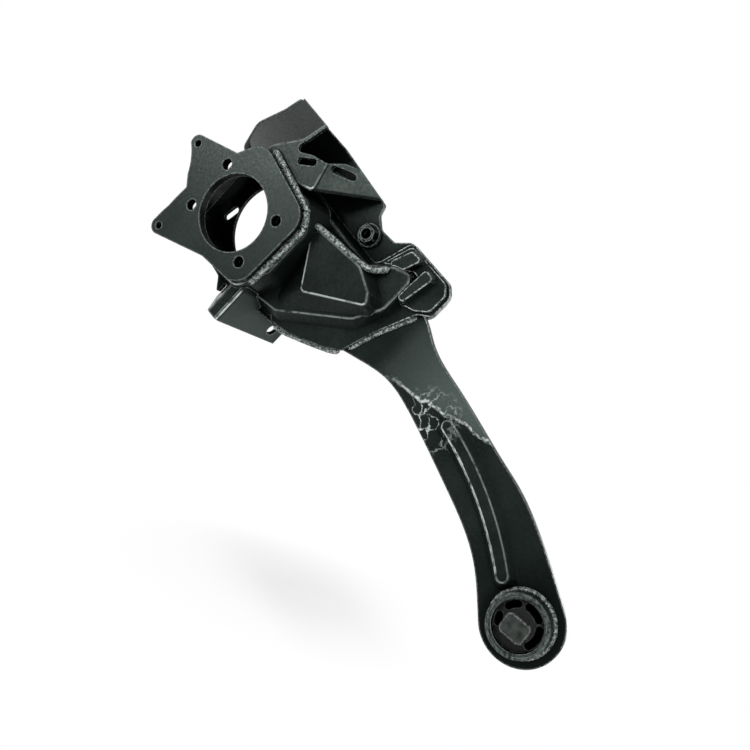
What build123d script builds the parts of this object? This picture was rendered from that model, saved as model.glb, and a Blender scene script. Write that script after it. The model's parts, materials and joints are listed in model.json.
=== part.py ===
from build123d import *
from math import cos, radians, sin
import os

os.makedirs("parts", exist_ok=True)

# Rear knuckle arm, welded from pressed steel. All sizes in mm.
# Frame: the origin is the hub centre on the outboard face of the hub plate.
# +X points forward to the arm bush, +Y points inboard, +Z points up.

# hub plate
hub_plate_thickness = 10.0
hub_bore_radius = 37.0
hub_bolt_spacing_x = 80.0
hub_bolt_spacing_z = 52.0
hub_bolt_hole_radius = 5.25
ear_radius = 8.5
ear_hole_radius = 3.5
ear_upper = (-80.2, 17.8)
ear_lower = (-52.8, -64.8)
plate_middle = (-6.0, -1.0, 50.0)
plate_corners = [(-14.0, 43.0, 21.0), (39.0, 32.0, 21.0), (36.0, -24.0, 22.0)]
plate_scallops = [(-62.0, 63.0, 26.0), (-121.0, -39.0, 62.0)]

# sheet gauges and bends
shell_sheet = 4.0
bracket_sheet = 4.0
blade_sheet = 5.0
rail_sheet = 3.0
rim_steps = [(2.6, 0.0), (1.0, 0.5), (0.0, 2.0)]
# share of the gauge between a form's outside and inside, at its top and at its foot
shell_insets = (0.7, 1.0)
pan_insets = (0.9, 1.1)
box_insets = (0.75, 1.15)
weld_radius = 3.2
hub_weld_width = 4.5
hub_weld_start = (-16.0, -30.0)
fit_gap = 0.15
bond_gap = 0.05

# depth of each surface, measured inboard from the plate face
panel_depth = 20.0
valley_depth = 35.0
flange_depth = 46.0
inner_web_depth = 80.0

# levels that follow from the sizes above
pad_depth = hub_plate_thickness + fit_gap
joint_depth = flange_depth + shell_sheet
blade_front = joint_depth + fit_gap
blade_back = blade_front + blade_sheet
inner_web_back = inner_web_depth + shell_sheet

# arm blade and its eye
blade_tail = (136.0, -24.0, 66.0)
eye_centre = (442.0, -49.5)
eye_radius = 37.5
eye_tube_radius = 27.5
eye_tube_length = 36.0
eye_tube_wall = 3.0
eye_tube_proud = 15.0
blade_upper = [(198, 58), (212, 51), (258, 41), (326, 29)]
blade_lower = [(378, -48), (308, -23), (240, -6), (203, -3), (170, -12)]
eye_top_angle = 65.0
eye_low_angle = -129.0
bead_height = 7.0
bead_half_width = 12.0
bead_flank = 6.5
bead_rim_radius = 3.5
bead_route = [(278.0, 13.0), (341.0, -3.0), (404.0, -35.0)]

# bush
bush_can_wall = 2.0
rubber_front_inset = 5.0
rubber_back_inset = 4.0
void_skin = 1.5
void_half_width = 3.2
void_membrane = 4.0
void_arcs = [(138.0, 28.0), (66.0, 42.0), (-16.0, 56.0), (202.0, 20.0)]
core_shift = (0.0, -4.0)
core_turn = 12.0
core_width = 24.6
core_height = 20.0
core_corner = 5.0
core_front_inset = 3.0
core_back_proud = 8.0
core_thread_radius = 5.0
core_thread_depth = 24.0

# openings
inner_opening_radius = 50.0
outer_opening_radius = 40.0
drain_slot = (-53.5, -22.0)
drain_slot_radius = 3.6
drain_slot_length = 18.0
drain_slot_turn = 78.0

# link brackets
link_bolt_radius = 6.1
link_nut_radius = 10.5
link_nut_length = 10.0
link_thread_radius = 6.0
upper_bolt_level = 86.0
upper_bolt_edge = 14.0
upper_cheek_sheet = 5.0
upper_cheek_rear = -26.0
upper_cheek_gap = 44.0
cheek_reach = 90.0
cheek_root = (60.0, 106.0)
box_slots = [(45.5, 98.0, 25.0), (16.0, 82.0, 35.0)]
box_slot_size = (20.0, 6.5)
box_window_depth = 22.0
lower_bolt_level = -70.0
lower_bolt_edge = 16.0
lower_reach = 104.0
lower_plan = [(70, lower_reach), (54, 16), (43, 16), (13, 62), (13, lower_reach)]
lower_floor = -84.0
lower_top = -30.0
lower_bend = 3.5

# front rail
rail_crest = 36.0
rail_flank = 4.0

# pocket nut
pocket_nut_centre = (94.0, 73.5)
pocket_flange_radius = 11.5
pocket_flange_height = 3.0
pocket_hex_radius = 9.0
pocket_nut_height = 9.0
pocket_thread_radius = 5.0


def level(depth):
    """Work plane parallel to the hub plate, at a depth inboard of its face."""
    return Plane(origin=(0, depth, 0), x_dir=(1, 0, 0), z_dir=(0, -1, 0))


def rounded(points):
    """Face from corner points (x, z, radius)."""
    corners = [(x, z) for x, z, _ in points]
    face = make_face(Polyline(*corners, close=True))
    for x, z, radius in points:
        if radius:
            corner = face.vertices().sort_by_distance((x, z, 0))[0]
            face = fillet(corner, radius)
    return face


def shrunk(points, inset):
    """Corner points (x, z, radius) moved inward by an even distance."""
    corners = [Vector(x, z) for x, z, _ in points]
    sides = [(b - a).normalized() for a, b in zip(corners, corners[1:] + corners[:1])]
    area = sum(a.X * b.Y - b.X * a.Y for a, b in zip(corners, corners[1:] + corners[:1]))
    turn = 1 if area > 0 else -1
    moved = []
    for index, corner in enumerate(corners):
        before, after = sides[index - 1], sides[index]
        inward = Vector(-before.Y - after.Y, before.X + after.X) * turn
        step = inward * (inset / (1 + before.dot(after)))
        radius = points[index][2]
        moved.append((corner.X + step.X, corner.Y + step.Y, max(radius - inset, 1.0) if radius else 0))
    return moved


def ribbon(route, half_width):
    """Strip of even width along a route, with round ends."""
    return make_face(offset(route, amount=half_width, side=Side.BOTH))


def slab(face, start, end):
    """Flat piece between two depths, its outline drawn in X and Z."""
    return extrude(level(start) * face, amount=start - end)


def disc(x, z, radius, start, end):
    return slab(Pos(x, z) * Circle(radius), start, end)


def pressing(*sections):
    """Drawn form whose walls run through outlines, each given with its depth."""
    return loft([level(depth) * face for face, depth in sections], ruled=True)


def rimmed(top, top_depth, top_inset, foot, foot_depth, foot_inset):
    """Drawn form between two rows of corner points, with a rounded rim at its top."""
    sections = [(rounded(shrunk(top, top_inset + step)), top_depth + drop) for step, drop in rim_steps]
    return pressing(*sections, (rounded(shrunk(foot, foot_inset)), foot_depth))


def weld_bead(points, radius, *neighbours):
    """Round weld bead along a smooth route, trimmed to the pieces that it joins."""
    route = Spline(*points) if len(points) > 2 else Line(*points)
    bead = sweep(Plane(route @ 0, z_dir=route % 0) * Circle(radius), path=route)
    bead += Pos(*(route @ 0)) * Sphere(radius)
    bead += Pos(*(route @ 1)) * Sphere(radius)
    return (bead - list(neighbours)).solids().sort_by(SortBy.VOLUME)[-1]


def save(node, solid, label):
    solid.label = label
    export_step(solid, f"parts/{node}.step")


# Hub plate: two brake-shield ears at the back, round bore, four bolt holes.
middle_x, middle_z, middle_radius = plate_middle
middle = Pos(middle_x, middle_z) * Circle(middle_radius)
plate_face = make_hull([(Pos(x, z) * Circle(r)).edge() for x, z, r in plate_corners] + [middle.edge()])
for ear in (ear_upper, ear_lower):
    tip = Pos(*ear) * Circle(ear_radius)
    plate_face += make_hull([tip.edge(), middle.edge()])
plate_face = Sketch() + plate_face
for x, z, radius in plate_scallops:
    plate_face -= Pos(x, z) * Circle(radius)
hub_plate = slab(plate_face, 0, hub_plate_thickness)
hub_plate -= disc(0, 0, hub_bore_radius, -1, hub_plate_thickness + 1)
hub_holes = GridLocations(hub_bolt_spacing_x, hub_bolt_spacing_z, 2, 2)
hub_hole_face = hub_holes * Circle(hub_bolt_hole_radius)
hub_plate -= slab(Sketch() + hub_hole_face, -1, hub_plate_thickness + 1)
for x, z in (ear_upper, ear_lower):
    hub_plate -= disc(x, z, ear_hole_radius, -1, hub_plate_thickness + 1)
save("hub_plate", hub_plate, "hub plate")

# Outer shell: one pressing with a pad under the hub plate, a raised panel ahead of
# it and a valley around both, ending in a flange that lies on the arm blade.
pad_top = [(-44, -40, 14), (-44, 34, 14), (-14, 60, 16), (46, 59, 14), (67, 40, 14),
           (66, -14, 16), (50, -48, 14), (14, -52, 14)]
pad_foot = [(-54, -48, 18), (-54, 44, 18), (-20, 66, 20), (56, 65, 18), (76, 42, 18),
            (72, -20, 20), (50, -54, 18), (14, -57, 18)]
panel_top = [(57, 47, 8), (123, 54, 10), (146, 44, 8), (156, 33, 6), (96, -6, 6)]
panel_foot = [(46, 52, 10), (131, 58, 12), (152, 46, 10), (160, 28, 8), (79, -38, 10)]
pan_top = [(-54, -46, 10), (-54, 44, 10), (-20, 64, 10), (118, 56, 10), (140, 74, 10),
           (162, 82, 8), (163, 40, 16), (147, 11, 14), (84, -40, 10), (54, -46, 8), (7, -56, 10)]
pan_foot = [(-60, -52, 12), (-60, 48, 12), (-22, 68, 12), (116, 60, 12), (140, 80, 12),
            (168, 88, 10), (168, 40, 16), (153, 2, 14), (88, -50, 12), (56, -52, 10), (6, -62, 12)]
outer_flange = [(82, -52, 6), (104, -47, 10), (142, -28, 12), (156, -17, 8),
                (167, 18, 16), (184, 58, 10), (196, 66, 8), (196, 90, 10), (186, 98, 8), (132, 99, 8),
                (122, 66, 10), (100, 40, 10), (20, 0, 0)]


def shell_form(inset, lift):
    """Body of the outer pressing, shrunk by an inset and moved inboard by a lift."""
    top_inset = inset * shell_insets[0]
    inset *= shell_insets[1]
    pan = rimmed(pan_top, valley_depth + lift, top_inset, pan_foot, joint_depth, inset)
    pad = rimmed(pad_top, pad_depth + lift, top_inset, pad_foot, valley_depth + 2 * lift, inset)
    panel = rimmed(panel_top, panel_depth + lift, top_inset, panel_foot, valley_depth + 2 * lift, inset)
    return pan + pad + panel


shell_outside = shell_form(0, 0)
shell_inside = shell_form(shell_sheet, shell_sheet)
outer_shell = shell_outside + slab(rounded(outer_flange), flange_depth, joint_depth) - shell_inside
outer_shell -= disc(0, 0, outer_opening_radius, 0, valley_depth)
save("outer_shell", outer_shell, "outer shell")

# Arm blade: flat sheet from the knuckle to the eye, with one long raised bead.
eye_x, eye_z = eye_centre


def on_eye(angle, radius):
    return (eye_x + radius * cos(radians(angle)), eye_z + radius * sin(radians(angle)))


tail_x, tail_low, tail_high = blade_tail
upper_edge = Spline(
    (tail_x, tail_high), *blade_upper, on_eye(eye_top_angle, eye_radius),
    tangents=[(1, 0), (cos(radians(eye_top_angle - 90)), sin(radians(eye_top_angle - 90)))],
)
lower_edge = Spline(
    on_eye(eye_low_angle, eye_radius), *blade_lower, (tail_x, tail_low),
    tangents=[(cos(radians(eye_low_angle - 90)), sin(radians(eye_low_angle - 90))), (-1, -0.4)],
)
eye_edge = CenterArc(eye_centre, eye_radius, eye_top_angle, eye_low_angle - eye_top_angle)
tail_edge = Line((tail_x, tail_low), (tail_x, tail_high))
blade_face = make_face([upper_edge, eye_edge, lower_edge, tail_edge])
bead_line = ThreePointArc(*bead_route)


def bead_form(inset, lift):
    """Raised bead, shrunk by an inset and moved inboard by a lift."""
    top = ribbon(bead_line, bead_half_width - bead_flank - inset)
    foot = ribbon(bead_line, bead_half_width - inset)
    return pressing((top, blade_front - bead_height + lift), (foot, blade_front + lift))


bead_outside = bead_form(0, 0)
bead_outside = fillet(bead_outside.faces().sort_by(Axis.Y)[0].edges(), bead_rim_radius)
bead_inside = bead_form(blade_sheet * 0.4, blade_sheet)
arm_blade = slab(blade_face, blade_front, blade_back) + bead_outside - bead_inside
arm_blade -= disc(eye_x, eye_z, eye_tube_radius + fit_gap, flange_depth - 10, blade_back + 5)
save("arm_blade", arm_blade, "arm blade")

# Inner shell: flanged pan behind the outer shell, open behind the hub. Its flange
# runs up behind the upper bracket and closes the bracket's back.
inner_outline = [(-66, -52, 14), (-66, 34, 10), (-76, 40, 8), (-82, 66, 16), (-68, 95, 20), (-62, 114, 4),
                 (12, 112, 8), (84, 103, 4), (87, 93, 5), (98, 85, 8), (117, 86, 8), (130, 98, 6),
                 (187, 95, 7), (195, 84, 8), (195, 62, 12), (182, 54, 14), (166, 18, 14), (156, -16, 6),
                 (142, -27, 10), (104, -45, 8), (84, -54, 6), (58, -58, 8), (15.2, -66, 0),
                 (15.2, -80, 2), (3, -66, 6), (-30, -62, 14)]
inner_foot = [(-63, -48, 16), (-63, 44, 16), (-24, 54, 14), (112, 48, 14), (142, 44, 12),
              (154, 10, 12), (144, -14, 10), (98, -38, 12), (54, -50, 14), (-24, -56, 14)]
inner_web = [(-62, -44, 16), (-62, 40, 16), (-24, 52, 14), (96, 46, 14), (122, 40, 12),
             (132, 10, 12), (122, -10, 10), (88, -32, 12), (50, -47, 14), (-24, -54, 14)]


def pan_form(inset, lift):
    """Pan of the inner pressing, shrunk by an inset, its web moved outboard by a lift."""
    foot = rounded(shrunk(inner_foot, inset * pan_insets[1]))
    web = rounded(shrunk(inner_web, inset * pan_insets[0]))
    return pressing((web, inner_web_back - lift), (foot, blade_front))


pan_outside = pan_form(0, 0)
pan_inside = pan_form(shell_sheet, shell_sheet)
inner_shell = slab(rounded(inner_outline), blade_front, blade_front + shell_sheet) + pan_outside - pan_inside
inner_shell -= disc(0, 0, inner_opening_radius, inner_web_depth - 10, inner_web_back + 5)
slot_face = Pos(*drain_slot) * Rot(0, 0, drain_slot_turn) * SlotOverall(drain_slot_length, 2 * drain_slot_radius)
inner_shell -= slab(slot_face, inner_web_depth - 10, inner_web_back + 5)
inner_shell -= slab(blade_face, blade_front - 1, blade_back + fit_gap)
save("inner_shell", inner_shell, "inner shell")

# Upper bracket: box above the shell, open at its top, its web cut away in a window.
box_web = [(-30, 46, 6), (-25, 69, 10), (-4, 94, 16), (6, 130, 3), (24, 130, 3), (42, 67, 6), (0, 54, 6)]
box_foot = [(-74, 40, 8), (-80, 66, 16), (-66, 94, 30), (-54, 130, 3), (77, 130, 3), (84, 105, 6), (0, 79, 6)]
box_window = [(-3, 85, 4), (1, 95, 5), (13, 140, 0), (62, 140, 0), (50, 110, 3), (41, 105, 5),
              (32, 94, 6), (16, 90, 6), (3, 83, 4)]
mouth_rear = (-58, joint_depth, 116)
mouth_front = (84, joint_depth, 104)
mouth_side = (2, pad_depth, 118)


def box_form(inset, lift):
    """Box of the upper bracket, shrunk by an inset and moved inboard by a lift."""
    top_inset, foot_inset = inset * box_insets[0], inset * box_insets[1]
    return rimmed(box_web, pad_depth + lift, top_inset, box_foot, joint_depth, foot_inset)


box_outside = box_form(0, 0)
box_inside = box_form(bracket_sheet, bracket_sheet)
mouth_along = Vector(*mouth_front) - Vector(*mouth_rear)
mouth_across = Vector(*mouth_rear) - Vector(*mouth_side)
mouth = Plane(origin=mouth_rear, x_dir=mouth_along, z_dir=mouth_along.cross(mouth_across))


def below_mouth(solid):
    """Part of a solid that lies under the sloping mouth of the box."""
    return split(solid, bisect_by=mouth, keep=Keep.BOTTOM)


upper_bracket = below_mouth(box_outside - box_inside - shell_outside)
upper_bracket -= slab(rounded(box_window), 0, pad_depth + box_window_depth)
for x, z, turn in box_slots:
    upper_bracket -= slab(Pos(x, z) * Rot(0, 0, turn) * SlotOverall(*box_slot_size), 0, joint_depth)
upper_bracket -= slab(plate_face, -1, pad_depth)
upper_bracket = upper_bracket.solids().sort_by(SortBy.VOLUME)[-1]
save("upper_bracket", upper_bracket, "upper bracket")

# Two cheeks on the back of the flange take the upper link and its bolt.
cheek_plane = Plane(origin=(0, 0, 0), x_dir=(0, 1, 0), z_dir=(1, 0, 0))
cheek_start = blade_front + shell_sheet + fit_gap
cheek_tip_radius = upper_bolt_edge - 1
cheek_outline = [(cheek_start, cheek_root[0], 0),
                 (cheek_reach, upper_bolt_level - upper_bolt_edge, cheek_tip_radius),
                 (cheek_reach, upper_bolt_level + upper_bolt_edge, cheek_tip_radius),
                 (cheek_start, cheek_root[1], 0)]
cheek_face = rounded(cheek_outline)
upper_bolt_depth = cheek_reach - upper_bolt_edge
cheeks = []
for start in (upper_cheek_rear, upper_cheek_rear + upper_cheek_sheet + upper_cheek_gap):
    cheek = extrude(cheek_plane.offset(start) * cheek_face, amount=upper_cheek_sheet)
    bolt_plane = Plane(origin=(start - 1, upper_bolt_depth, upper_bolt_level), z_dir=(1, 0, 0))
    cheek -= extrude(bolt_plane * Circle(link_bolt_radius), amount=upper_cheek_sheet + 2)
    cheeks.append(cheek - inner_shell)
save("upper_cheek_rear", cheeks[0], "upper cheek, rear")
save("upper_cheek_front", cheeks[1], "upper cheek, front")

# Lower bracket: a folded strip under the shell for the lower link.
lower_route = FilletPolyline(*lower_plan, radius=lower_bend)
lower_plane = Plane(origin=(0, 0, lower_floor), x_dir=(1, 0, 0), z_dir=(0, 0, 1))
lower_strip = make_face(offset(lower_route, amount=bracket_sheet / 2, side=Side.BOTH))
lower_bracket = extrude(lower_plane * lower_strip, amount=lower_top - lower_floor)
inner_flange = slab(rounded(inner_outline), joint_depth, blade_front + shell_sheet)
lower_bolt_depth = lower_reach - lower_bolt_edge
lower_bolt_plane = Plane(origin=(0, lower_bolt_depth, lower_bolt_level), z_dir=(1, 0, 0))
lower_bracket -= extrude(lower_bolt_plane * Circle(link_bolt_radius), amount=lower_reach)
lower_bracket -= [shell_outside, pan_outside, inner_flange]
lower_bracket = lower_bracket.solids().sort_by(SortBy.VOLUME)[-1]
save("lower_bracket", lower_bracket, "lower bracket")

# Front rail: a pressed strip with two ribs, over the upper front corner of the flange.
rail_outline = [(126, 66, 4), (136, 97, 6), (184, 96, 6), (192, 88, 6), (192, 68, 8), (180, 58, 8), (160, 52, 6)]
rail_ribs = [
    [(132, 70, 3), (142, 94, 3), (155, 95, 3), (147, 75, 3)],
    [(162, 57, 3), (164, 92, 3), (175, 91, 3), (169, 57, 3)],
]
rail_seat = flange_depth - fit_gap
front_rail = slab(rounded(rail_outline), rail_seat - rail_sheet, rail_seat)
for rib in rail_ribs:
    front_rail += pressing((rounded(rib), rail_crest), (rounded(shrunk(rib, -rail_flank)), rail_seat))
for rib in rail_ribs:
    hollow_top = rounded(shrunk(rib, rail_sheet * shell_insets[0]))
    hollow_foot = rounded(shrunk(rib, rail_sheet - rail_flank))
    front_rail -= pressing((hollow_top, rail_crest + rail_sheet), (hollow_foot, rail_seat))
front_rail -= shell_outside
front_rail = front_rail.solids().sort_by(SortBy.VOLUME)[-1]
save("front_rail", front_rail, "front rail")

# Weld nuts for the link bolts, and a flanged nut in the pocket ahead of the box.
upper_nut_place = (upper_cheek_rear - fit_gap, upper_bolt_depth, upper_bolt_level)
lower_nut_place = (lower_plan[-1][0] - bracket_sheet / 2 - fit_gap, lower_bolt_depth, lower_bolt_level)
for node, place in (("upper_link_nut", upper_nut_place), ("lower_link_nut", lower_nut_place)):
    start = Plane(origin=place, z_dir=(-1, 0, 0))
    link_nut = extrude(start * Circle(link_nut_radius), amount=link_nut_length)
    link_nut = chamfer(link_nut.edges().sort_by(Axis.X)[:1], 1.5)
    link_nut -= extrude(start * Circle(link_thread_radius), amount=link_nut_length)
    save(node, link_nut, node.replace("_", " "))

pocket_x, pocket_z = pocket_nut_centre
pocket_step = joint_depth - pocket_flange_height
pocket_end = joint_depth - pocket_nut_height
pocket_hex = Pos(pocket_x, pocket_z) * RegularPolygon(pocket_hex_radius, 6)
pocket_nut = disc(pocket_x, pocket_z, pocket_flange_radius, pocket_step, joint_depth)
pocket_nut += slab(pocket_hex, pocket_end, pocket_step)
pocket_nut -= disc(pocket_x, pocket_z, pocket_thread_radius, pocket_end - 1, joint_depth + 1)
save("pocket_nut", pocket_nut, "pocket nut")

# Eye tube and bush.
tube_front = blade_front - eye_tube_proud
tube_back = tube_front + eye_tube_length
eye_bore = eye_tube_radius - eye_tube_wall
eye_tube = disc(eye_x, eye_z, eye_tube_radius, tube_front, tube_back)
eye_tube -= disc(eye_x, eye_z, eye_bore, tube_front - 1, tube_back + 1)
eye_tube = chamfer(eye_tube.edges().filter_by(GeomType.CIRCLE), 0.8)
save("eye_tube", eye_tube, "eye tube")

bush_can_radius = eye_bore - fit_gap
bush_can = disc(eye_x, eye_z, bush_can_radius, tube_front + 1, tube_back - 1)
bush_can -= disc(eye_x, eye_z, bush_can_radius - bush_can_wall, tube_front, tube_back)
save("bush_can", bush_can, "bush can")

rubber_radius = bush_can_radius - bush_can_wall - bond_gap
core_x, core_z = eye_x + core_shift[0], eye_z + core_shift[1]
core_place = Pos(core_x, core_z) * Rot(0, 0, core_turn)
core_face = core_place * RectangleRounded(core_width, core_height, core_corner)
rubber_ends = (tube_front + rubber_front_inset, tube_back - rubber_back_inset)
bush_rubber = disc(eye_x, eye_z, rubber_radius, *rubber_ends)
void_radius = rubber_radius - void_skin - void_half_width
for start, sweep_angle in void_arcs:
    void = ribbon(CenterArc(eye_centre, void_radius, start, sweep_angle), void_half_width)
    bush_rubber -= slab(void, tube_front, rubber_ends[1] - void_membrane)
bush_rubber -= slab(core_face, tube_front, tube_back)
save("bush_rubber", bush_rubber, "bush rubber")

core_back = tube_back + core_back_proud
bush_core = slab(offset(core_face, amount=-bond_gap), tube_front + core_front_inset, core_back)
bush_core = chamfer(bush_core.faces().sort_by(Axis.Y)[0].edges(), 1.0)
bush_core -= disc(core_x, core_z, core_thread_radius, core_back - core_thread_depth, core_back + 1)
save("bush_core", bush_core, "bush core")

# Weld beads that hold the pressings together.
plate_hull = make_hull([(Pos(x, z) * Circle(r)).edge() for x, z, r in plate_corners] + [middle.edge()])
hub_weld_top = offset(plate_hull, amount=0.6)
hub_weld_foot = offset(plate_hull, amount=hub_weld_width)
hub_weld = pressing((hub_weld_top, hub_plate_thickness - hub_weld_width), (hub_weld_foot, pad_depth))
hub_weld_side = 3 * middle_radius
hub_weld_side_face = Rectangle(hub_weld_side, hub_weld_side, align=(Align.MIN, Align.MIN))
hub_weld &= slab(Pos(*hub_weld_start) * hub_weld_side_face, 0, pad_depth)
hub_weld -= [hub_plate, outer_shell, upper_bracket, slab(plate_hull, 0, pad_depth)]
hub_weld = hub_weld.solids().sort_by(SortBy.VOLUME)[-1]
save("hub_plate_weld", hub_weld, "hub plate weld")

flange_edge = [(158, blade_front, -12), (167.5, blade_front, 18), (184.5, blade_front, 56)]
save("blade_weld", weld_bead(flange_edge, weld_radius, outer_shell, inner_shell, arm_blade), "blade weld")

top_edge = [(61, panel_depth - 1, 47.5), (76, panel_depth + 3, 49.5), (121, panel_depth + 3, 54.5),
            (133, valley_depth - 6, 60), (139, valley_depth, 69)]
top_weld = weld_bead(top_edge, weld_radius, outer_shell, front_rail)
save("shell_top_weld", top_weld, "shell top weld")

low_edge = [(86, joint_depth, -53.5), (104, joint_depth, -47.5), (142, joint_depth, -28.5),
            (154, joint_depth, -20)]
low_weld = weld_bead(low_edge, weld_radius, outer_shell, inner_shell, arm_blade, lower_bracket)
save("shell_low_weld", low_weld, "shell lower weld")

for node, depth in (("eye_weld_outboard", blade_front), ("eye_weld_inboard", blade_back)):
    eye_weld = Pos(eye_x, depth, eye_z) * Rot(90, 0, 0) * Torus(eye_tube_radius, weld_radius)
    eye_weld -= disc(eye_x, eye_z, eye_tube_radius + 2 * fit_gap, blade_front, blade_back)
    eye_weld -= [arm_blade, eye_tube, disc(eye_x, eye_z, eye_tube_radius, 0, 100)]
    save(node, eye_weld.solids().sort_by(SortBy.VOLUME)[-1], node.replace("_", " "))
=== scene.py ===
"""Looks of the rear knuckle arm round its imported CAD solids. Metres, +X forward, +Y inboard, +Z up."""

import json
import math
import random

import bpy
from mathutils import Matrix, Vector


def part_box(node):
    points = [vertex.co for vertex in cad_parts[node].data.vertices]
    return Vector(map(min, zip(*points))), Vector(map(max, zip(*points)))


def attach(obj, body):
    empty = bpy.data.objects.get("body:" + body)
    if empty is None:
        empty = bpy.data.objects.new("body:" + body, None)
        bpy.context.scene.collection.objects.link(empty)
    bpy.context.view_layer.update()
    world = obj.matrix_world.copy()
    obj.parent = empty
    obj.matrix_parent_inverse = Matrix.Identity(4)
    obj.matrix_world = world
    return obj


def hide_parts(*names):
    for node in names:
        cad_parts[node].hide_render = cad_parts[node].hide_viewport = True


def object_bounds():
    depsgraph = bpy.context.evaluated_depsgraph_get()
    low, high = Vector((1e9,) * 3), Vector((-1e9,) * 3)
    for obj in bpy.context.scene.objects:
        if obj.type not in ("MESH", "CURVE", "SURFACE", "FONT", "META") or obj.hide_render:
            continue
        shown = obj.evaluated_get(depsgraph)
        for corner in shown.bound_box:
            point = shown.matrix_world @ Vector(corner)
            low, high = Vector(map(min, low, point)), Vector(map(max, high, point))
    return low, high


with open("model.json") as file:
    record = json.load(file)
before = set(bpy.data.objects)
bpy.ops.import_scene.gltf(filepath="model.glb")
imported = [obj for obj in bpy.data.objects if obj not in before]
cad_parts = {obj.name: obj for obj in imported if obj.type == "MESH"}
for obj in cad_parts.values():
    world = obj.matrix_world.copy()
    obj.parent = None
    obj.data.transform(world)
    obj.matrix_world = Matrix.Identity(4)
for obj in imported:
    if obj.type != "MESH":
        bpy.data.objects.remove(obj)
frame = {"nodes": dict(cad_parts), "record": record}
cad_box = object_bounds()
scene = bpy.context.scene
scene.view_settings.view_transform = "Standard"

OUTBOARD = Vector((0, -1, 0))
INBOARD = Vector((0, 1, 0))

# camera
CAMERA_PLACE = Vector((0.466353, -0.700093, 0.181263))
CAMERA_RIGHT = Vector((0.6073, 0.3941, 0.6898))
CAMERA_UP = Vector((-0.7223, -0.0878, 0.6860))
CAMERA_LENS = 43.2
SENSOR_WIDTH = 36.0
CLIP_START = 0.01

# lamps: direction from the part, distance, width and height, and strength of each, all aimed at one point
LAMP_AIM = Vector((0.10, 0.03, 0.02))
LAMPS = {
    "key": ((-0.66, -0.75, 0.04), 1.5, (0.6, 0.6), 17.0),
    "right": ((0.66, -0.71, 0.20), 1.5, (0.3, 0.8), 16.0),
    "back": ((0.55, 0.80, 0.18), 1.5, (0.9, 0.9), 16.0),
    "top": ((-0.09, -0.61, 0.79), 1.7, (0.7, 0.7), 13.0),
}
WORLD_LIGHT = 0.2

# floor, white to the camera but for an oval patch that shows the part's shadow
FLOOR_SIZE = 12.0
FLOOR_DROP = 0.25
FLOOR_COLOUR = (0.9, 0.9, 0.9)
SHADOW_MIDDLE_XY = (0.246, 0.351)
SHADOW_HALF = (0.35, 0.105)
SHADOW_TURN = math.radians(69.4)
SHADOW_FADE = (0.2, 1.0)

# colours
# painted shade, the near-black that recesses and the bore's walls are darkened to
PAINTED_SHADE = (0.0006, 0.0008, 0.0007)
BLACK = (0.0030, 0.0046, 0.0042)
GREY = (0.0065, 0.0095, 0.0085)
PLATE_GREY = (0.0085, 0.0115, 0.0102)
# pale of ridges, partly wear and partly painted edge highlight
EDGE = (0.12, 0.14, 0.13)
# pale of painted highlights and of real scratches
PALE = (0.36, 0.40, 0.38)
TINT = (0.84, 1.0, 0.92)
# painted sheen and painted reflection
PAINTED_SHEEN = (0.075, 0.095, 0.086)
CAN_DARK = (0.012, 0.015, 0.013)
CAN_LIGHT = (0.025, 0.030, 0.027)
RUBBER_DARK = (0.004, 0.004, 0.004)
RUBBER_LIGHT = (0.009, 0.009, 0.009)
RUBBER_EDGE = (0.03, 0.03, 0.03)
CORE_DARK = (0.005, 0.007, 0.006)
CORE_LIGHT = (0.034, 0.039, 0.036)
CORE_EDGE = (0.2, 0.2, 0.2)

# finish of each material slot, over the usual values that finish_of gives
FINISHES = {
    "shell_paint": dict(dark=BLACK, light=GREY, rough=0.28, grain=0.25, marked=True),
    "plate_paint": dict(dark=GREY, light=PLATE_GREY, rough=0.28, grain=0.4, specular=0.11),
    "weld_paint": dict(dark=BLACK, light=GREY, rough=0.22, grain=1.0, edge=PALE, edge_width=0.0001,
                       wear_and_highlight_reach=0.0008, specular=0.5, fleck=0.5),
    "tube_paint": dict(dark=BLACK, light=GREY, rough=0.30, grain=0.3, wear_and_highlight_reach=0.0016, specular=0.07),
    "nut_paint": dict(dark=BLACK, light=GREY, rough=0.32, grain=0.3, wear_and_highlight_reach=0.0014),
    "can_steel": dict(dark=CAN_DARK, light=CAN_LIGHT, rough=0.4, grain=0.4, wear_and_highlight_reach=0.0009, metallic=0.8),
    "bush_rubber": dict(dark=RUBBER_DARK, light=RUBBER_LIGHT, rough=0.6, grain=0.8, edge=RUBBER_EDGE,
                        wear_and_highlight_reach=0.001, patch=120.0),
    "core_metal": dict(dark=CORE_DARK, light=CORE_LIGHT, rough=0.5, grain=0.9, edge=CORE_EDGE,
                       wear_and_highlight_reach=0.0015, metallic=0.3, patch=130.0),
}

# Scales of noise are per metre. Unless its name says otherwise, a pair of numbers below holds the two
# values at which an effect is nil and at which it is full. Places are points of the part's frame.

# colour and gloss of every material, where a swing holds the least and most share of a usual value
NOISE_MEAN = 0.5
SPECK_SCALE = 380.0
PEEL_SCALE = 900.0
PEEL_SHARE = 0.4
PIT_SCALE = 240.0
BUMP_DEPTH = 0.0001
CLOUD_RANGE = (0.3, 0.7)
ROUGH_SWING = (0.85, 1.2)
SHINE_RANGE = (0.35, 0.65)
SHINE_SWING = (0.7, 1.3)
FLECK_RANGE = (0.5, 0.6)
RIDGE_THIN = (0.97, 0.80)
RIDGE_NOT_CORNER = (0.5, 0.75)
WORN_AND_HIGHLIT_RANGE = (0.32, 0.6)

# painted shade: recesses and the walls round the hub's axis are painted dark
RECESS_REACH = 0.08
RECESS_OPEN = (0.45, 0.95)
RECESS_LEAST = 0.06
BORE_REACH = (0.075, 0.070)
BORE_FACING = (-0.2, -0.5)
BORE_LEAST = 0.15
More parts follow.
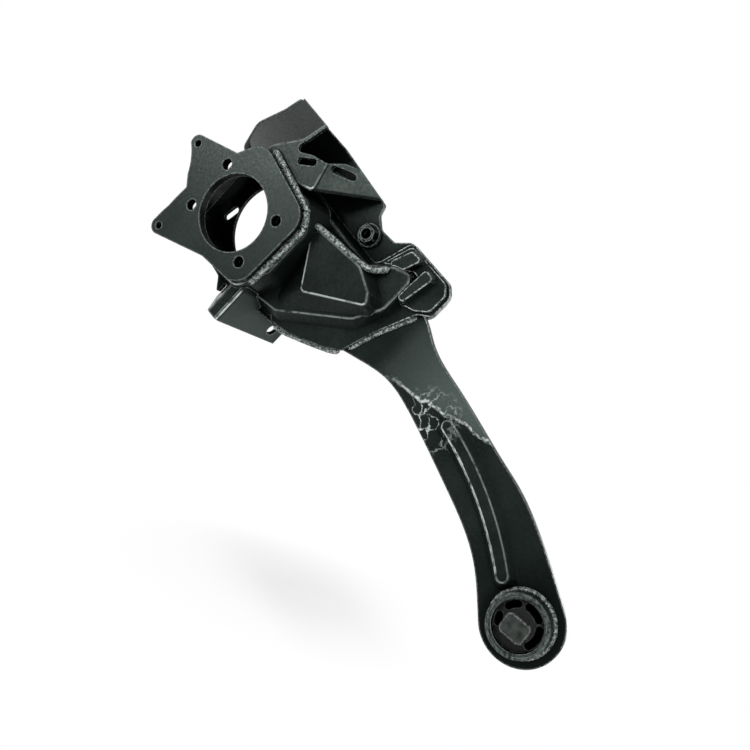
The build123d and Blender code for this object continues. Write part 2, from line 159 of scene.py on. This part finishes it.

# on the arm: a painted reflection, a pale field above a slanting border with a painted highlight along it,
# and real scratches below it
OUTBOARD_SIDE = (0.0, -0.2)
REFLECTION_AND_SCRATCH_X = (0.185, 0.20)
REFLECTION_EDGE_START_XZ = (0.219, 0.003)
REFLECTION_EDGE_SLANT_XZ = (0.954, 0.299)
REFLECTION_MIDDLE = (0.277, 0.050, 0.034)
REFLECTION_EDGE_WAVE_SCALE = 55.0
REFLECTION_EDGE_WAVE = 0.016
FIELD_EDGE = (0.0, 0.003)
FIELD_FADE = (0.11, 0.015)
FIELD_SHARE = 0.5
FIELD_ROUGH = 0.25
BORDER_WIDTH = (0.0022, 0.0004)
BORDER_FADE = (0.085, 0.05)
SCRATCH_MIDDLE = (0.262, 0.050, 0.002)
SCRATCH_FADE = (0.034, 0.012)
SCRATCH_SCALE = 75.0
SCRATCH_WIDTH = (0.035, 0.004)
HIGHLIGHT_AND_SCRATCH_BREAK_SCALE = 300.0
HIGHLIGHT_AND_SCRATCH_BREAKS = (0.35, 0.6)

# painted highlights on the rims of the pressings, told by how squarely they face outboard, full on rims that
# face down
RIM_SLOPE = (0.935, 0.948)
RIM_NOT_FLAT = (0.985, 0.97)
RIM_DEPTH = (0.034, 0.028)
RIM_DEEP_LEAST = 0.3
RIM_DOWN = (0.02, -0.08)
RIM_UP_LEAST = 0.25
RIM_BREAK_SCALE = 120.0
RIM_BREAKS = (0.3, 0.5)
# painted highlight on the edges near this point of the front rail
HIGHLIT_CORNER = (0.165, 0.040, 0.078)
CORNER_FADE = (0.06, 0.035)

# painted highlight on the bead of the arm, full on its downward slope
BEAD_X = (0.20, 0.21)
BEAD_SLOPE = (0.80, 0.88)
BEAD_NOT_FLAT = (0.998, 0.99)
BEAD_SHARE = 0.8
BEAD_DOWN = (0.04, -0.04)
BEAD_UP_LEAST = 0.3
BEAD_NOT_END = (0.32, 0.22)

# painted highlight on the fold and painted sheen on the forward face of the lower bracket
BRACKET_TOP = (-0.044, -0.048)
FOLD_SLOPE = (0.60, 0.68)
FOLD_NOT_FLAT = (0.88, 0.82)
FOLD_X = (0.064, 0.060)
FACE_FORWARD = (0.85, 0.95)
FACE_X = (0.074, 0.070)
FACE_PAINTED_SHEEN = 0.35

# painted shade on the raised panel, and paint darker and less glossy on the arm round its eye
PANEL_DEPTH = (0.0215, 0.0208)
PANEL_X = (0.060, 0.065)
PANEL_TOP = (0.052, 0.048)
PANEL_PAINTED_SHADE = 0.32
EYE_X = (0.36, 0.43)
EYE_DULL = 0.45

# weld beads, whose radius is made up of a core, the ripple and a slow wobble
WELD_RADIUS = 0.0032
WELD_PITCH = 0.0024
WELD_STEP = 0.00035
WELD_SIDES = 16
WELD_CORE = 0.74
WELD_RIPPLE = 0.22
WELD_WOBBLE = 0.04
WOBBLE_RINGS = 20
PITCH_WOBBLE = 0.4
RIPPLE_POWER = 0.6
CRESCENT_LAG = 0.9
BLUNT_END = 0.15
CURVE_STEPS = 24
RING_POINTS = 24
HUB_WELD_RADIUS = 0.0037
HUB_WELD_OUT = 0.0018
HUB_WELD_PROUD = 0.55
HUB_WELD_SPACING = 0.004
FLAT_TOLERANCE = 0.0001

# seed of each weld bead's wobble, by the node that it stands for
WELD_SEEDS = {
    "hub_plate_weld": 3,
    "blade_weld": 4,
    "shell_top_weld": 5,
    "shell_low_weld": 6,
    "eye_weld_outboard": 7,
    "eye_weld_inboard": 8,
}

# routes of the open seams, in millimetres
SEAM_WELDS = {
    "blade_weld": [(158, 50.15, -12), (167.5, 50.15, 18), (184.5, 50.15, 56)],
    "shell_top_weld": [(61, 19, 47.5), (76, 23, 49.5), (121, 23, 54.5), (133, 29, 60), (139, 35, 69)],
    "shell_low_weld": [(86, 50, -53.5), (104, 50, -47.5), (142, 50, -28.5), (154, 50, -20)],
}

# sides that the rings round the eye face
EYE_WELDS = {"eye_weld_outboard": OUTBOARD, "eye_weld_inboard": INBOARD}


class Nodes:
    """Builds the node tree of a material or world, one short call for each node."""

    def __init__(self, owner):
        owner.use_nodes = True
        self.tree = owner.node_tree
        self.tree.nodes.clear()

    def add(self, kind, inputs=(), **settings):
        """New node. inputs maps a socket's name or number to a value or to another node's output."""
        node = self.tree.nodes.new(kind)
        for key, value in settings.items():
            setattr(node, key, value)
        for key, value in dict(inputs).items():
            if isinstance(value, bpy.types.NodeSocket):
                self.tree.links.new(value, node.inputs[key])
            else:
                node.inputs[key].default_value = value
        return node

    def math(self, operation, a, b=0.0):
        return self.add("ShaderNodeMath", {0: a, 1: b}, operation=operation).outputs[0]

    def times(self, first, *others):
        """Product of two or more values."""
        product = first
        for other in others:
            product = self.math("MULTIPLY", product, other)
        return product

    def ramp(self, value, span, least=0.0, most=1.0):
        """Value carried from the span's two ends to least and most, and held there beyond them."""
        return self.add("ShaderNodeMapRange", {"Value": value, "From Min": span[0], "From Max": span[1],
                                               "To Min": least, "To Max": most}).outputs[0]

    def noise(self, place, scale, detail=3.0):
        inputs = {"Vector": place, "Scale": scale, "Detail": detail}
        return self.add("ShaderNodeTexNoise", inputs).outputs["Fac"]

    def mix(self, share, first, second):
        """Colour between two others. Each is a triple or another node's output."""
        pair = [c if isinstance(c, bpy.types.NodeSocket) else (*c, 1) for c in (first, second)]
        return self.add("ShaderNodeMix", {0: share, 6: pair[0], 7: pair[1]}, data_type="RGBA").outputs[2]

    def place(self):
        """Point of the part's own frame."""
        return self.add("ShaderNodeTexCoord").outputs["Object"]

    def normal(self):
        """Direction that the facet faces."""
        return self.add("ShaderNodeNewGeometry").outputs["True Normal"]

    def split(self, vector):
        """X, Y and Z of a vector."""
        return self.add("ShaderNodeSeparateXYZ", {"Vector": vector}).outputs[:]

    def vector(self, operation, a, b=(0, 0, 0)):
        return self.add("ShaderNodeVectorMath", {0: a, 1: b}, operation=operation).outputs["Vector"]

    def measure(self, operation, a, b=(0, 0, 0)):
        """Number worked out from vectors: a length, a distance or a dot product."""
        return self.add("ShaderNodeVectorMath", {0: a, 1: b}, operation=operation).outputs["Value"]

    def shown_ray(self):
        """1 for rays of the camera, reflections and glass, which see a white surrounding."""
        path = self.add("ShaderNodeLightPath")
        seen = self.math("MAXIMUM", path.outputs["Is Camera Ray"], path.outputs["Is Glossy Ray"])
        return self.math("MAXIMUM", seen, path.outputs["Is Transmission Ray"])


def link(obj):
    scene.collection.objects.link(obj)
    return obj


def make_camera():
    """Camera placed and turned as it was solved from the photo."""
    data = bpy.data.cameras.new("camera")
    data.lens = CAMERA_LENS
    data.sensor_width = SENSOR_WIDTH
    data.clip_start = CLIP_START
    camera = link(bpy.data.objects.new("camera", data))
    back = CAMERA_RIGHT.cross(CAMERA_UP).normalized()
    turn = Matrix((CAMERA_RIGHT, CAMERA_UP, back)).transposed()
    camera.matrix_world = Matrix.Translation(CAMERA_PLACE) @ turn.to_4x4()
    scene.camera = camera


def make_lamp(name, direction, distance, size, strength):
    """Rectangular lamp, in a direction and at a distance from the point that it faces."""
    data = bpy.data.lights.new(name, "AREA")
    data.shape = "RECTANGLE"
    data.size, data.size_y = size
    data.energy = strength
    lamp = link(bpy.data.objects.new(name, data))
    away = Vector(direction).normalized()
    lamp.location = LAMP_AIM + away * distance
    lamp.rotation_euler = (-away).to_track_quat("-Z", "Y").to_euler()


def make_world():
    """Surrounding that is white to the camera and in reflections, and dim as a light."""
    world = bpy.data.worlds.new("world")
    scene.world = world
    n = Nodes(world)
    level = n.ramp(n.shown_ray(), (0.0, 1.0), WORLD_LIGHT)
    light = n.add("ShaderNodeBackground", {"Color": (1, 1, 1, 1), "Strength": level})
    n.add("ShaderNodeOutputWorld", {"Surface": light.outputs[0]})


def floor_paper(level):
    """White to the camera, and matt paper in the oval patch that takes the shadow."""
    material = bpy.data.materials.new("floor")
    n = Nodes(material)
    patch = n.add("ShaderNodeMapping", {"Vector": n.place(), "Location": (*SHADOW_MIDDLE_XY, level),
                                        "Rotation": (0, 0, SHADOW_TURN), "Scale": (*SHADOW_HALF, 1)},
                  vector_type="TEXTURE")
    bleached = n.ramp(n.measure("LENGTH", patch.outputs[0]), SHADOW_FADE)
    share = n.times(n.shown_ray(), bleached)
    matt = n.add("ShaderNodeBsdfDiffuse", {"Color": (*FLOOR_COLOUR, 1)})
    white = n.add("ShaderNodeEmission", {"Color": (1, 1, 1, 1), "Strength": 1.0})
    mixed = n.add("ShaderNodeMixShader", {0: share, 1: matt.outputs[0], 2: white.outputs[0]})
    n.add("ShaderNodeOutputMaterial", {"Surface": mixed.outputs[0]})
    return material


def make_floor():
    """Large level floor some way below the part."""
    half = FLOOR_SIZE / 2
    level = cad_box[0][2] - FLOOR_DROP
    corners = [(x, y, level) for x, y in ((-half, -half), (half, -half), (half, half), (-half, half))]
    mesh = bpy.data.meshes.new("floor")
    mesh.from_pydata(corners, [], [(0, 1, 2, 3)])
    floor = link(bpy.data.objects.new("floor", mesh))
    mesh.materials.append(floor_paper(level))


def reflection_patch_and_scratches(n, place):
    """Share of the painted reflection, a pale field on the arm, and share of the painted highlight along its
    border and of real scratches.
    """
    x, _, z = n.split(place)
    _, facing_y, _ = n.split(n.normal())
    on_arm = n.times(n.ramp(x, REFLECTION_AND_SCRATCH_X), n.ramp(facing_y, OUTBOARD_SIDE))
    ahead = n.math("SUBTRACT", x, REFLECTION_EDGE_START_XZ[0])
    above = n.math("SUBTRACT", z, REFLECTION_EDGE_START_XZ[1])
    wave = n.math("SUBTRACT", n.noise(place, REFLECTION_EDGE_WAVE_SCALE, detail=4.0), NOISE_MEAN)
    across = n.math("ADD", n.times(ahead, -REFLECTION_EDGE_SLANT_XZ[1]), n.times(above, REFLECTION_EDGE_SLANT_XZ[0]))
    across = n.math("ADD", across, n.times(wave, REFLECTION_EDGE_WAVE))
    away = n.measure("DISTANCE", place, REFLECTION_MIDDLE)
    field = n.times(n.ramp(across, FIELD_EDGE), n.ramp(away, FIELD_FADE), FIELD_SHARE)
    border = n.times(n.ramp(n.math("ABSOLUTE", across), BORDER_WIDTH), n.ramp(away, BORDER_FADE))
    vein = n.math("SUBTRACT", n.noise(place, SCRATCH_SCALE, detail=2.0), NOISE_MEAN)
    near = n.ramp(n.measure("DISTANCE", place, SCRATCH_MIDDLE), SCRATCH_FADE)
    scratch = n.times(near, n.ramp(n.math("ABSOLUTE", vein), SCRATCH_WIDTH))
    broken = n.ramp(n.noise(place, HIGHLIGHT_AND_SCRATCH_BREAK_SCALE), HIGHLIGHT_AND_SCRATCH_BREAKS)
    pale = n.times(n.math("MAXIMUM", border, scratch), broken)
    return n.times(field, on_arm), n.times(pale, on_arm)


def painted_rim_highlights(n, place):
    """Share of painted highlight along the pressed rim lines, the arm's bead and the lower bracket's fold."""
    x, y, z = n.split(place)
    facing_x, facing_y, facing_z = n.split(n.normal())
    square = n.math("ABSOLUTE", facing_y)
    arm = n.ramp(x, BEAD_X)
    proud = n.math("MAXIMUM", n.ramp(y, RIM_DEPTH, RIM_DEEP_LEAST), arm)
    crown = n.times(n.ramp(square, RIM_SLOPE), n.ramp(square, RIM_NOT_FLAT))
    crown = n.times(crown, proud, n.ramp(facing_z, RIM_DOWN, RIM_UP_LEAST))
    bead = n.times(n.ramp(square, BEAD_SLOPE), n.ramp(square, BEAD_NOT_FLAT, 0.0, BEAD_SHARE))
    bead = n.times(bead, n.ramp(facing_z, BEAD_DOWN, BEAD_UP_LEAST), arm)
    bead = n.times(bead, n.ramp(n.math("ABSOLUTE", facing_x), BEAD_NOT_END))
    fold = n.times(n.ramp(square, FOLD_SLOPE), n.ramp(square, FOLD_NOT_FLAT))
    fold = n.times(fold, n.ramp(z, BRACKET_TOP), n.ramp(x, FOLD_X))
    highlit = n.math("MAXIMUM", crown, n.math("MAXIMUM", bead, fold))
    broken = n.ramp(n.noise(place, RIM_BREAK_SCALE), RIM_BREAKS)
    return n.times(highlit, n.ramp(facing_y, OUTBOARD_SIDE), broken)


def tones(n, place):
    """Share of surface left unshaded, as the raised panel gets painted shade and the arm round the eye darker
    paint, and share of painted sheen on the lower bracket's face.
    """
    x, y, z = n.split(place)
    facing_x, _, _ = n.split(n.normal())
    panel = n.times(n.ramp(y, PANEL_DEPTH), n.ramp(x, PANEL_X), n.ramp(z, PANEL_TOP), PANEL_PAINTED_SHADE)
    eye = n.times(n.ramp(x, EYE_X), EYE_DULL)
    face = n.times(n.ramp(facing_x, FACE_FORWARD), n.ramp(z, BRACKET_TOP), n.ramp(x, FACE_X), FACE_PAINTED_SHEEN)
    return n.math("SUBTRACT", 1.0, n.math("MAXIMUM", panel, eye)), face


def unshaded_share(n, place):
    """Share of surface without painted shade: little of it in recesses and on walls that face the hub's axis
    near it.
    """
    room = n.add("ShaderNodeAmbientOcclusion", {"Distance": RECESS_REACH}, samples=8).outputs["AO"]
    from_axis = n.vector("MULTIPLY", place, (1, 0, 1))
    facing = n.measure("DOT_PRODUCT", n.normal(), n.vector("NORMALIZE", from_axis))
    bore = n.times(n.ramp(n.measure("LENGTH", from_axis), BORE_REACH), n.ramp(facing, BORE_FACING))
    return n.times(n.ramp(room, RECESS_OPEN, RECESS_LEAST), n.ramp(bore, (0.0, 1.0), 1.0, BORE_LEAST))


def worn_and_highlit_edges(n, speck, width):
    """Share of worn metal and painted edge highlight: ridges, told by how little metal lies behind them, but
    not sharp corners.
    """
    behind = n.add("ShaderNodeAmbientOcclusion", {"Distance": width}, samples=8, inside=True, only_local=True)
    thin = behind.outputs["AO"]
    return n.times(n.ramp(thin, RIDGE_THIN), n.ramp(thin, RIDGE_NOT_CORNER), n.ramp(speck, WORN_AND_HIGHLIT_RANGE))


def skin(n, place, grain, edge_width):
    """Normal of orange peel and pits over softened edges."""
    soft = n.add("ShaderNodeBevel", {"Radius": edge_width}, samples=6)
    peel = n.times(n.noise(place, PEEL_SCALE, detail=2.0), PEEL_SHARE)
    height = n.math("ADD", peel, n.noise(place, PIT_SCALE, detail=2.0))
    return n.add("ShaderNodeBump", {"Height": height, "Strength": grain, "Distance": BUMP_DEPTH,
                                    "Normal": soft.outputs[0]}).outputs[0]


def sheet_marks(n, place, body, edge, gloss, unshaded):
    """The same four outputs with the marks that only the sheet metal bears: painted sheen, a painted
    reflection, painted highlights, real scratches, painted shade on the panel and darker paint round the eye.
    """
    kept, sheen = tones(n, place)
    field, pale = reflection_patch_and_scratches(n, place)
    # painted sheen on the lower bracket, painted reflection on the arm, painted highlights and real scratches
    for share, colour in ((sheen, PAINTED_SHEEN), (field, PAINTED_SHEEN), (pale, PALE), (painted_rim_highlights(n, place), PALE)):
        body = n.mix(share, body, colour)
    # painted highlight on the edges round the front rail
    corner = n.ramp(n.measure("DISTANCE", place, HIGHLIT_CORNER), CORNER_FADE)
    edge = n.mix(corner, edge, PALE)
    gloss = n.math("ADD", gloss, n.times(field, FIELD_ROUGH))
    return body, edge, gloss, n.times(unshaded, kept)


def finish_of(name, dark, light, rough, grain, edge=EDGE, edge_width=0.0012, wear_and_highlight_reach=0.0013, metallic=0.0,
              specular=0.095, marked=False, fleck=0.0, patch=26.0):
    """Coated metal: cloudy colour, uneven gloss, fine orange peel, painted shade in recesses, and pale edges,
    partly worn and partly painted highlight.
    """
    material = bpy.data.materials.new(name)
    n = Nodes(material)
    place = n.place()
    cloud = n.noise(place, patch, detail=4.0)
    speck = n.noise(place, SPECK_SCALE)
    unshaded = unshaded_share(n, place)
    gloss = n.ramp(cloud, CLOUD_RANGE, rough * ROUGH_SWING[0], rough * ROUGH_SWING[1])
    shine = n.ramp(speck, SHINE_RANGE, specular * SHINE_SWING[0], specular * SHINE_SWING[1])
    body = n.mix(n.ramp(cloud, CLOUD_RANGE), dark, light)
    body = n.mix(n.times(n.ramp(speck, FLECK_RANGE), fleck), body, edge)
    if marked:
        body, edge, gloss, unshaded = sheet_marks(n, place, body, edge, gloss, unshaded)
    # painted shade in recesses, on the bore's walls and on the raised panel, and darker paint round the eye
    body = n.mix(unshaded, PAINTED_SHADE, body)
    # pale ridges: wear and painted edge highlight
    colour = n.mix(worn_and_highlit_edges(n, speck, wear_and_highlight_reach), body, edge)
    # the painted shade lowers the specular level too
    shader = n.add("ShaderNodeBsdfPrincipled", {
        "Base Color": colour, "Roughness": gloss, "Normal": skin(n, place, grain, edge_width),
        "Metallic": metallic, "Specular IOR Level": n.times(unshaded, shine), "Specular Tint": (*TINT, 1)})
    n.add("ShaderNodeOutputMaterial", {"Surface": shader.outputs[0]})
    return material


MATERIALS = {name: finish_of(name, **settings) for name, settings in FINISHES.items()}


def curve_through(points, step, closed):
    """Evenly spaced points along the Catmull-Rom curve through a few given ones."""
    count = len(points)
    dense = []
    for i in range(count if closed else count - 1):
        if closed:
            a, b, c, d = (points[(i + k) % count] for k in (-1, 0, 1, 2))
        else:
            b, c = points[i], points[i + 1]
            a = points[i - 1] if i else b * 2 - c
            d = points[i + 2] if i + 2 < count else c * 2 - b
        for t in (k / CURVE_STEPS for k in range(CURVE_STEPS)):
            dense.append(0.5 * (2 * b + (c - a) * t + (2 * a - 5 * b + 4 * c - d) * t * t
                                + (3 * b - 3 * c + d - a) * t ** 3))
    dense.append(points[0] if closed else points[-1])
    even = [dense[0].copy()]
    left = step
    for start, end in zip(dense, dense[1:]):
        length = (end - start).length
        at = left
        while at < length:
            even.append(start.lerp(end, at / length))
            at += step
        left = at - length
    return even


def weld_rings(line, radius, outward, closed, seed):
    """Rings of points along a bead, rippled so that its crescents lie like fallen coins."""
    chance = random.Random(seed)
    count = len(line)
    wobble = [chance.uniform(-1, 1) for _ in range(count // WOBBLE_RINGS + 3)]
    points = []
    for i, centre in enumerate(line):
        ahead = line[(i + 1) % count] if closed else line[min(i + 1, count - 1)]
        behind = line[(i - 1) % count] if closed else line[max(i - 1, 0)]
        tangent = (ahead - behind).normalized()
        up = (outward - tangent * outward.dot(tangent)).normalized()
        side = tangent.cross(up)
        draw, part = divmod(i / WOBBLE_RINGS, 1)
        loose = wobble[int(draw)] * (1 - part) + wobble[int(draw) + 1] * part
        from_end = min(i, count - 1 - i) * WELD_STEP / radius
        taper = 1.0 if closed else min(1.0, from_end + BLUNT_END) ** 0.5
        for k in range(WELD_SIDES):
            angle = 2 * math.pi * k / WELD_SIDES
            lift, across = math.cos(angle), math.sin(angle)
            along = i * WELD_STEP + CRESCENT_LAG * radius * (lift - 1) + PITCH_WOBBLE * WELD_PITCH * loose
            ripple = abs(math.sin(math.pi * along / WELD_PITCH)) ** RIPPLE_POWER
            size = radius * taper * (WELD_CORE + WELD_RIPPLE * ripple + WELD_WOBBLE * loose)
            points.append(centre + (up * lift + side * across) * size)
    return points


def ring_faces(count, closed):
    """Faces of a tube of rings, which joins up with itself or has a flat face at either end."""
    faces = []
    for i in range(count if closed else count - 1):
        first, second = i * WELD_SIDES, (i + 1) % count * WELD_SIDES
        for k in range(WELD_SIDES):
            after = (k + 1) % WELD_SIDES
            faces.append((first + k, first + after, second + after, second + k))
    if not closed:
        faces.append(tuple(reversed(range(WELD_SIDES))))
        faces.append(tuple((count - 1) * WELD_SIDES + k for k in range(WELD_SIDES)))
    return faces


def weld_bead(name, node, route, radius=WELD_RADIUS, outward=OUTBOARD, closed=False):
    """Rippled weld bead along a route, which stands for the plain bead of a node."""
    line = curve_through(route, WELD_STEP, closed)
    rings = weld_rings(line, radius, outward, closed, WELD_SEEDS[node])
    mesh = bpy.data.meshes.new(name)
    mesh.from_pydata(rings, [], ring_faces(len(line), closed))
    mesh.polygons.foreach_set("use_smooth", [True] * len(mesh.polygons))
    mesh.materials.append(MATERIALS["weld_paint"])
    bead = link(bpy.data.objects.new(name, mesh))
    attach(bead, "root")
    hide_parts(node)


def hub_weld_route():
    """Route along the foot of the hub plate's edge, read from the plain bead that the CAD part has there."""
    bead = frame["nodes"]["hub_plate_weld"]
    low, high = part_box("hub_plate_weld")
    rim = [v.co.copy() for v in bead.data.vertices if v.co.y < low[1] + FLAT_TOLERANCE]
    rim.sort(key=lambda point: math.atan2(point.z, point.x))
    level = high[1] - HUB_WELD_RADIUS * HUB_WELD_PROUD
    route = []
    for point in rim:
        out = Vector((point.x, 0, point.z)).normalized()
        spot = Vector((point.x, level, point.z)) + out * HUB_WELD_OUT
        if not route or (spot - route[-1]).length > HUB_WELD_SPACING:
            route.append(spot)
    return route


def ring_route(node, outward):
    """Ring round the eye tube, in the middle of the plain bead of a node."""
    low, high = (Vector(corner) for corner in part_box(node))
    centre = (low + high) / 2
    radius = (high.x - low.x) / 2 - WELD_RADIUS
    level = high.y if outward.y < 0 else low.y
    turns = (2 * math.pi * k / RING_POINTS for k in range(RING_POINTS))
    return [Vector((centre.x + radius * math.cos(t), level, centre.z + radius * math.sin(t))) for t in turns]


make_camera()
for lamp_name, lamp_settings in LAMPS.items():
    make_lamp(lamp_name, *lamp_settings)
make_world()
make_floor()

weld_bead("hub_weld_bead", "hub_plate_weld", hub_weld_route(), radius=HUB_WELD_RADIUS)
for node, seam in SEAM_WELDS.items():
    weld_bead(f"{node}_bead", node, [Vector(point) / 1000 for point in seam])
for node, facing in EYE_WELDS.items():
    weld_bead(f"{node}_bead", node, ring_route(node, facing), outward=facing, closed=True)

slot_of = {part["node"]: part["material_slot"] for part in frame["record"]["subparts"]}
for node, solid in frame["nodes"].items():
    for slot in solid.material_slots:
        slot.material = MATERIALS[slot_of[node]]
